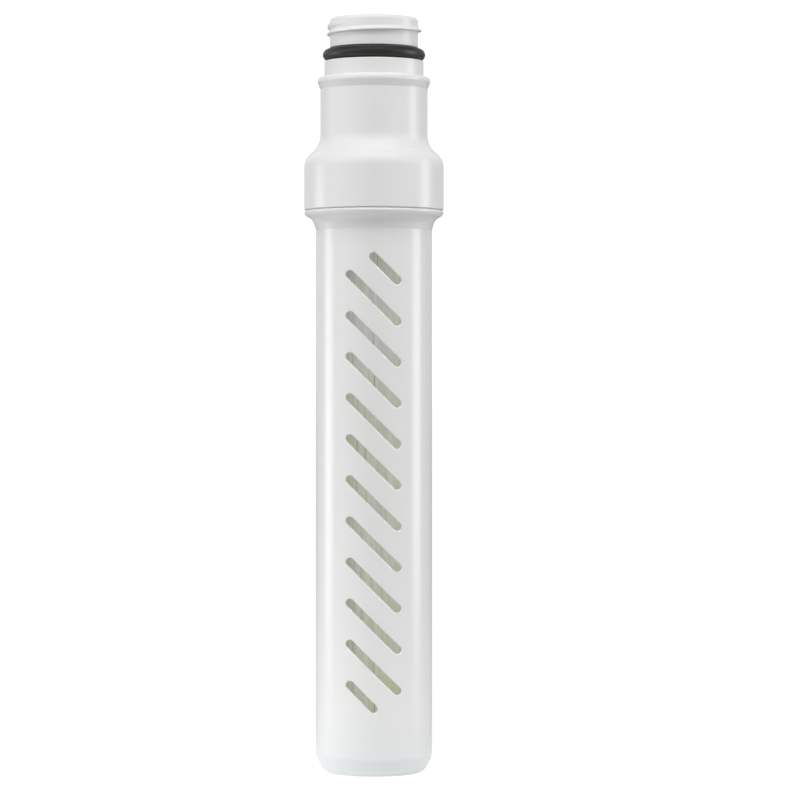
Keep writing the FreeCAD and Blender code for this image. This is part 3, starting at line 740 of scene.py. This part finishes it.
def fibre_tree():
    """The tree that makes the bundle, its sizes in metres, and the identifiers of its inputs by name."""
    tree = bpy.data.node_groups.new("fibre_bundle", "GeometryNodeTree")
    face = tree.interface
    face.new_socket("Geometry", in_out="OUTPUT", socket_type="NodeSocketGeometry")
    sockets = {}
    for label, kind, value in (
        ("Spacing", "NodeSocketFloat", 0.00094),
        ("Bundle radius", "NodeSocketFloat", 0.0103),
        ("Fibre radius", "NodeSocketFloat", 0.00042),
        ("Top height", "NodeSocketFloat", 0.1416),
        ("Lowest bend", "NodeSocketFloat", 0.0048),
        ("Bend spread", "NodeSocketFloat", 0.006),
        ("Free height", "NodeSocketFloat", 0.127),
        ("Free reach", "NodeSocketFloat", 0.03),
        ("Sway", "NodeSocketFloat", 0.00034),
        ("Lean reach", "NodeSocketFloat", 0.0056),
        ("Seed", "NodeSocketInt", 7),
        ("Skin", "NodeSocketMaterial", None),
        ("Lumen shade", "NodeSocketMaterial", None),
    ):
        made = face.new_socket(label, in_out="INPUT", socket_type=kind)
        if value is not None:
            made.default_value = value
        sockets[label] = made.identifier
    start = Wire(tree)
    given = tree.nodes.new("NodeGroupInput")
    take = {label: Wire(tree, given.outputs[label]) for label in sockets}

    # Each point carries its own place and chances to the loop that stands on it
    def carried(geometry, kind, value):
        node = tree.nodes.new("GeometryNodeCaptureAttribute")
        node.capture_items.new(kind, "Kept")
        tree.links.new(geometry.socket, node.inputs["Geometry"])
        tree.links.new(value.socket, node.inputs["Kept"])
        return Wire(tree, node.outputs["Geometry"]), Wire(tree, node.outputs["Kept"])

    # One point stands for each loop, where its right-hand leg enters the resin. Every other row leans aside
    # near the middle, to one side and the other by turns, so that no straight gap runs through the bundle
    grid = start.node("GeometryNodeMeshGrid", {}, {
        "Size X": take["Spacing"] * (ACROSS_COUNT - 1),
        "Size Y": take["Spacing"] * ((ALONG_COUNT - 1) * math.sqrt(3) / 2),
        "Vertices X": ACROSS_COUNT,
        "Vertices Y": ALONG_COUNT,
    })
    index = start.node("GeometryNodeInputIndex")
    row = index.math("MODULO", index, ALONG_COUNT)
    odd = row.math("MODULO", row, 2)
    shift = take["Spacing"] * (0.5 * odd + 0.5)
    offset = start.node("ShaderNodeCombineXYZ", {}, {
        "X": shift + take["Spacing"] * ((ACROSS_COUNT - 1) / 2)})
    placed = start.node("GeometryNodeSetPosition", {}, {"Geometry": grid, "Offset": offset})
    placed, lean = carried(placed, "FLOAT", odd * (row.math("MODULO", row, 4) - 2))
    spot = start.node("GeometryNodeInputPosition")
    far = start.node("ShaderNodeVectorMath", {"operation": "LENGTH"}, {0: spot}, "Value")
    outside = start.node("FunctionNodeCompare", {"data_type": "FLOAT", "operation": "GREATER_THAN"},
                         {"A": far, "B": take["Bundle radius"]})
    kept = start.node("GeometryNodeDeleteGeometry", {}, {"Geometry": placed, "Selection": outside})

    kept, home = carried(kept, "VECTOR", spot)
    chances = {}
    for use, draw in (("bend", 0), ("across", 1), ("deep", 2), ("pace", 4)):
        chance = start.node("FunctionNodeRandomValue", {"data_type": "FLOAT"},
                            {"Seed": take["Seed"] + draw}, "Value_001")
        kept, chances[use] = carried(kept, "FLOAT", chance)

    line = start.node("GeometryNodeMeshLine", {}, {"Count": LOOP_POINTS})
    line, share = carried(line, "FLOAT", index * (1 / (LOOP_POINTS - 1)))
    curve = start.node("GeometryNodeMeshToCurve", {}, {"Mesh": line})
    loops = start.node("GeometryNodeInstanceOnPoints", {}, {"Points": kept, "Instance": curve})
    loops = start.node("GeometryNodeRealizeInstances", {}, {"Geometry": loops})

    # Along a loop, share runs from one end to the other, and the bend takes its middle quarter
    split = start.node("ShaderNodeSeparateXYZ", {}, {0: home})
    half_width, depth = (Wire(tree, split.socket.node.outputs[n]) for n in range(2))
    from_middle = share - 0.5
    turned = start.node("ShaderNodeClamp", {}, {
        "Value": from_middle * (1 / BEND_SHARE), "Min": -1.0, "Max": 1.0})
    angle = turned * (math.pi / 2)
    up = from_middle.math("MAXIMUM", from_middle.math("ABSOLUTE", from_middle) - BEND_SHARE, 0.0)
    up = up * (1 / (0.5 - BEND_SHARE))
    bend_height = take["Lowest bend"] + half_width + take["Bend spread"] * chances["bend"]
    reach = half_width * angle.math("SINE", angle)
    drop = half_width * angle.math("COSINE", angle)
    height = bend_height - drop + up * (take["Top height"] - bend_height)
    free = start.node("ShaderNodeMapRange", {"interpolation_type": "SMOOTHSTEP"}, {
        "Value": take["Free height"] - height, "From Min": 0.0, "From Max": take["Free reach"]})
    sway = take["Sway"] * free
    wave_x = sway * share.math("SINE", share * WAVE_ACROSS + FULL_WAVE * chances["across"])
    pace = WAVE_DEEP + WAVE_DEEP_MORE * chances["pace"]
    wave_y = sway * share.math("SINE", share * pace + FULL_WAVE * chances["deep"])
    aside = take["Spacing"] * LEAN * lean * (1 - half_width.clamped(0.0, take["Lean reach"]))
    path = start.node("ShaderNodeCombineXYZ", {}, {
        "X": reach + wave_x + aside, "Y": depth + wave_y, "Z": height})
    loops = start.node("GeometryNodeSetPosition", {}, {"Geometry": loops, "Position": path})
    round_section = start.node("GeometryNodeCurvePrimitiveCircle", {"mode": "RADIUS"},
                               {"Resolution": 6, "Radius": take["Fibre radius"]})
    tubes = start.node("GeometryNodeCurveToMesh", {}, {
        "Curve": loops, "Profile Curve": round_section, "Fill Caps": True})
    tubes = start.node("GeometryNodeSetShadeSmooth", {}, {"Geometry": tubes, "Shade Smooth": True})
    tubes = start.node("GeometryNodeSetMaterial", {}, {"Geometry": tubes, "Material": take["Skin"]})

    # The cut ends stand a hair above the resin, each with a flat dark disc in its wall: painted shade
    # standing in for the hollow lumen
    curve_ends = start.node("GeometryNodeCurveEndpointSelection", {}, {"Start Size": 1, "End Size": 1})
    lumen_shade_disc = start.node("GeometryNodeMeshCircle", {"fill_type": "NGON"},
                       {"Vertices": 8, "Radius": take["Fibre radius"] * LUMEN_SHARE})
    lift = start.node("ShaderNodeCombineXYZ", {}, {"Z": LUMEN_LIFT})
    lumen_shade_disc = start.node("GeometryNodeSetPosition", {}, {"Geometry": lumen_shade_disc, "Offset": lift})
    ends = start.node("GeometryNodeInstanceOnPoints", {}, {
        "Points": loops, "Selection": curve_ends, "Instance": lumen_shade_disc})
    ends = start.node("GeometryNodeSetMaterial", {}, {"Geometry": ends, "Material": take["Lumen shade"]})
    both = tree.nodes.new("GeometryNodeJoinGeometry")
    tree.links.new(tubes.socket, both.inputs[0])
    tree.links.new(ends.socket, both.inputs[0])
    whole = start.node("GeometryNodeRealizeInstances", {}, {"Geometry": Wire(tree, both.outputs[0])})
    result = tree.nodes.new("NodeGroupOutput")
    tree.links.new(whole.socket, result.inputs[0])
    return tree, sockets


# The skin is pale, a little yellower low down, and olive in damp patches
DRY_SKIN, DRY_SKIN_LOW = (0.46, 0.465, 0.45, 1), (0.45, 0.455, 0.40, 1)
OLIVE_SKIN = (0.44, 0.455, 0.32, 1)
fibre_finish = Finish("fibre_skin_painted_glow")
patch = fibre_finish.noise(scale=75, stretch=(1, 1, 0.35))
fine_patch = fibre_finish.noise(scale=420, stretch=(1, 1, 0.1))
olive = (patch + 0.35 * fine_patch).clamped(0.55, 0.95)
low_down = 1 - fibre_finish.z.clamped(0.03, 0.12)
fibre_colour = olive.mix(low_down.mix(DRY_SKIN, DRY_SKIN_LOW), OLIVE_SKIN)

# The fibres glow faintly: a painted glow standing in for the daylight that comes through the housing's thin
# white wall. Painted shade dims the glow toward the bundle's middle, up toward the collar and toward the left
PAINTED_SHADE_DARK = (0.06, 0.06, 0.05, 1)
x, y = fibre_finish.x, fibre_finish.y
from_axis = x.math("POWER", x * x + y * y, 0.5)
painted_glow = from_axis.clamped(0.003, 0.0105).mix(PAINTED_SHADE_DARK, fibre_colour)
# Painted shade: the glow darkens toward the top under the collar, and toward the left
collar_shade = 0.28 * fibre_finish.z.clamped(0.108, 0.124)
side_shade = 0.2 * x.clamped(-0.002, -0.0065)
painted_glow = (collar_shade + side_shade).mix(painted_glow, PAINTED_SHADE_DARK)
fibre_finish.set(
    Base_Color=fibre_colour,
    Roughness=0.6 + 0.2 * fine_patch,
    Emission_Color=painted_glow,
    Emission_Strength=0.58,
    Normal=fibre_finish.bump(fibre_finish.noise(scale=3000), distance=0.00002, strength=0.4),
)
# Painted shade: the dark disc on each fibre end stands in for its shadowed hollow
lumen_shade_finish = Finish("fibre_lumen_shade")
lumen_shade_finish.set(
    Base_Color=lumen_shade_finish.noise(scale=900).mix((0.05, 0.05, 0.04, 1), (0.10, 0.09, 0.07, 1)),
    Roughness=0.8,
)

blank = bpy.data.objects.new("fibre_blank", bpy.data.meshes.new("fibre_blank"))
bpy.context.scene.collection.objects.link(blank)
fibre_nodes, fibre_inputs = fibre_tree()
winding = blank.modifiers.new("fibre_bundle", "NODES")
winding.node_group = fibre_nodes
winding[fibre_inputs["Skin"]] = fibre_finish.material
winding[fibre_inputs["Lumen shade"]] = lumen_shade_finish.material
bpy.context.view_layer.update()
graph = bpy.context.evaluated_depsgraph_get()
bundle_mesh = bpy.data.meshes.new_from_object(blank.evaluated_get(graph), depsgraph=graph)
bundle_mesh.name = "fibre_bundle"
bpy.data.objects.remove(blank)
bundle = bpy.data.objects.new("fibre_bundle", bundle_mesh)
bpy.context.scene.collection.objects.link(bundle)
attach(bundle, "root")
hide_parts(*[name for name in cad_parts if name.startswith("fibre_loop")])


# Studio
# A plain white floor that runs to the horizon under an even white surround. The camera sees both as clean
# white, and the light that the filter gets from them is set apart from that. Sizes here are in metres.
WHITE_SEEN = 1.08
FLOOR_REACH = 40.0
FLOOR_SEEN = 0.93
FLOOR_GREY, FLOOR_BASE = grey(0.42), 0.08

floor_mesh = bpy.data.meshes.new("floor")
floor_corners = [(across * FLOOR_REACH, along * FLOOR_REACH, 0)
                 for across, along in ((-1, -1), (1, -1), (1, 1), (-1, 1))]
floor_mesh.from_pydata(floor_corners, [], [(0, 1, 2, 3)])
floor = bpy.data.objects.new("floor", floor_mesh)
bpy.context.scene.collection.objects.link(floor)
floor_paint = bpy.data.materials.new("floor_white")
floor_paint.use_nodes = True
paint = Wire(floor_paint.node_tree)
floor_paint.node_tree.nodes.clear()
spot = paint.node("ShaderNodeTexCoord", out="Object")


def pool(centre, inner, outer):
    """A soft round pool of light on the floor: 1 within inner and 0 past outer."""
    away = paint.node("ShaderNodeVectorMath", {"operation": "DISTANCE"}, {0: spot, 1: centre}, "Value")
    return 1 - away.clamped(inner, outer)


# The floor throws a little light up, and more of it from round the filter's foot and from the left of it
lit_floor = FLOOR_BASE + 0.42 * pool((0, 0, 0), inner=0.04, outer=0.13)
lit_floor = lit_floor + 0.60 * pool((-0.11, -0.01, 0), inner=0.05, outer=0.12)
matt = paint.node("ShaderNodeBsdfDiffuse", {}, {"Color": FLOOR_GREY})
bounce = paint.node("ShaderNodeEmission", {}, {"Color": grey(1), "Strength": lit_floor})
table = paint.node("ShaderNodeAddShader", {}, {0: matt, 1: bounce})
glow = paint.node("ShaderNodeEmission", {}, {"Color": grey(1), "Strength": WHITE_SEEN})
seen = paint.node("ShaderNodeLightPath", out="Is Camera Ray")
blend = paint.node("ShaderNodeMixShader", {}, {0: seen * FLOOR_SEEN, 1: table, 2: glow})
target = floor_paint.node_tree.nodes.new("ShaderNodeOutputMaterial")
floor_paint.node_tree.links.new(blend.socket, target.inputs["Surface"])
floor_mesh.materials.append(floor_paint)

world = bpy.data.worlds.new("surround")
bpy.context.scene.world = world
world.use_nodes = True
sky = Wire(world.node_tree)
toward = sky.node("ShaderNodeTexCoord", out="Generated")


def bearing(degrees, rise):
    """The direction that many degrees to the right of the camera's side and above the floor."""
    side, up = math.radians(degrees), math.radians(rise)
    return Vector((math.sin(side) * math.cos(up), -math.cos(side) * math.cos(up), math.sin(up)))


def card(degrees, rise, spread, radiance):
    """A far white card with a soft edge, as light by direction."""
    cosine = sky.node("ShaderNodeVectorMath", {"operation": "DOT_PRODUCT"},
                      {0: toward, 1: bearing(degrees, rise)}, "Value")
    return radiance * sky.node("ShaderNodeMapRange", {"interpolation_type": "SMOOTHSTEP"}, {
        "Value": cosine, "From Min": math.cos(math.radians(spread)), "From Max": 1.0})


# The surround is one card behind and three pairs round the sides, the left ones brighter
surround = card(180, rise=20, spread=50, radiance=0.5)
for degrees, spread, left, right in (
    (45, 45, 0.92, 0.58),
    (80, 40, 0.82, 0.50),
    (135, 40, 0.5, 0.32),
):
    surround = surround + card(-degrees, rise=15, spread=spread, radiance=left)
    surround = surround + card(degrees, rise=15, spread=spread, radiance=right)
seen = sky.node("ShaderNodeLightPath", out="Is Camera Ray")
light = sky.node("ShaderNodeBackground", {}, {
    "Color": grey(1), "Strength": surround + (WHITE_SEEN - surround) * seen})
world_out = world.node_tree.nodes["World Output"]
world.node_tree.links.new(light.socket, world_out.inputs["Surface"])


def softbox(name, place, aim, width, height, radiance):
    """A rectangular studio light that the camera doesn't see."""
    lamp = bpy.data.lights.new(name, "AREA")
    lamp.shape = "RECTANGLE"
    lamp.size = width
    lamp.size_y = height
    lamp.energy = radiance * math.pi * width * height
    lit = bpy.data.objects.new(name, lamp)
    bpy.context.scene.collection.objects.link(lit)
    lit.location = place
    lit.rotation_euler = (Vector(aim) - Vector(place)).to_track_quat("-Z", "Y").to_euler()
    lit.visible_camera = False
    return lit


# Upright strips beside the tube, each from its foot to its top, and two broad lights high up in front
STRIP_AWAY, STRIP_WIDTH = 0.6, 0.22
LAMP_AWAY = 0.9
for name, degrees, foot, top, radiance in (
    ("left_strip", -100, 0.0, 0.17, 4.7),
    ("right_strip_low", 93, 0.0, 0.17, 4.8),
    ("right_strip_high", 93, 0.17, 0.4, 2.7),
):
    place = bearing(degrees, 0) * STRIP_AWAY + Vector((0, 0, (foot + top) / 2))
    softbox(name, place, (0, 0, place.z), STRIP_WIDTH, top - foot, radiance)
middle = Vector((0, 0, 0.09))
softbox("overhead", middle + bearing(0, 58) * LAMP_AWAY, middle, width=1.0, height=0.75, radiance=0.9)
key = softbox("key", middle + bearing(0, 60) * LAMP_AWAY, middle, width=1.2, height=0.38, radiance=3.3)
key.visible_glossy = False

# The camera stands level with the object's middle, at about the photograph's distance, and a little to the
# right, which puts the object left of the picture's middle
CAMERA_RIGHT, CAMERA_AWAY, CAMERA_HEIGHT = 0.00614, 0.850, 0.0879
camera_data = bpy.data.cameras.new("camera")
camera_data.lens = 162
camera_data.sensor_width = 36
camera = bpy.data.objects.new("camera", camera_data)
bpy.context.scene.collection.objects.link(camera)
camera.location = (CAMERA_RIGHT, -CAMERA_AWAY, CAMERA_HEIGHT)
camera.rotation_euler = (math.pi / 2, 0, 0)
bpy.context.scene.camera = camera
bpy.context.scene.view_settings.view_transform = "Standard"
